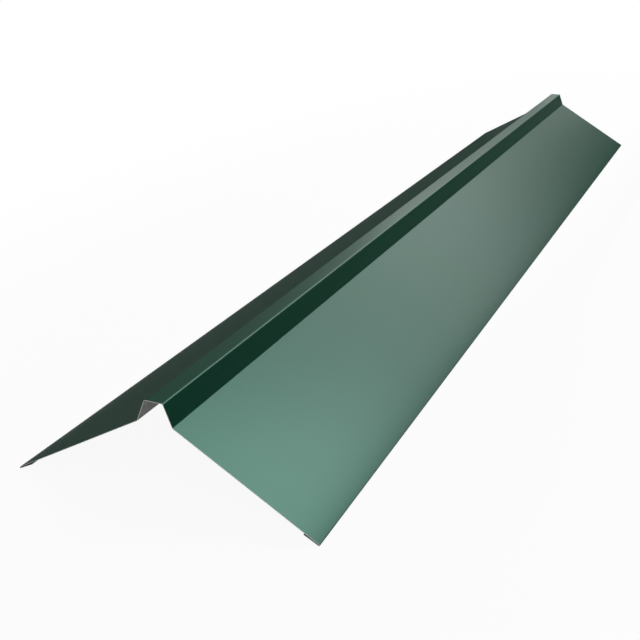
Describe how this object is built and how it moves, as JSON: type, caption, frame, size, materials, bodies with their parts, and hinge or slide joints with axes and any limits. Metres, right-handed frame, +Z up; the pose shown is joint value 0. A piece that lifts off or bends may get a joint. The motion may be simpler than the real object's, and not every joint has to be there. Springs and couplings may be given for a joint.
{
  "type": "roof ridge cap",
  "caption": "Folded coated-steel ridge cap for a pitched roof: sloping flanges either side of a raised flat-topped rib, with hems folded under along the long edges.",
  "frame": {"origin": "on the floor under the middle of the piece, at the bottom centre of its bounding box", "axes": "+X across the ridge to the right flange, +Y along the ridge, +Z up through the rib"},
  "size_m": [0.3748, 2, 0.1234],
  "materials": {
    "green_coat": "satin"
  },
  "bodies": {
    "root": {"ridge_cap": "green_coat"}
  },
  "joints": []
}
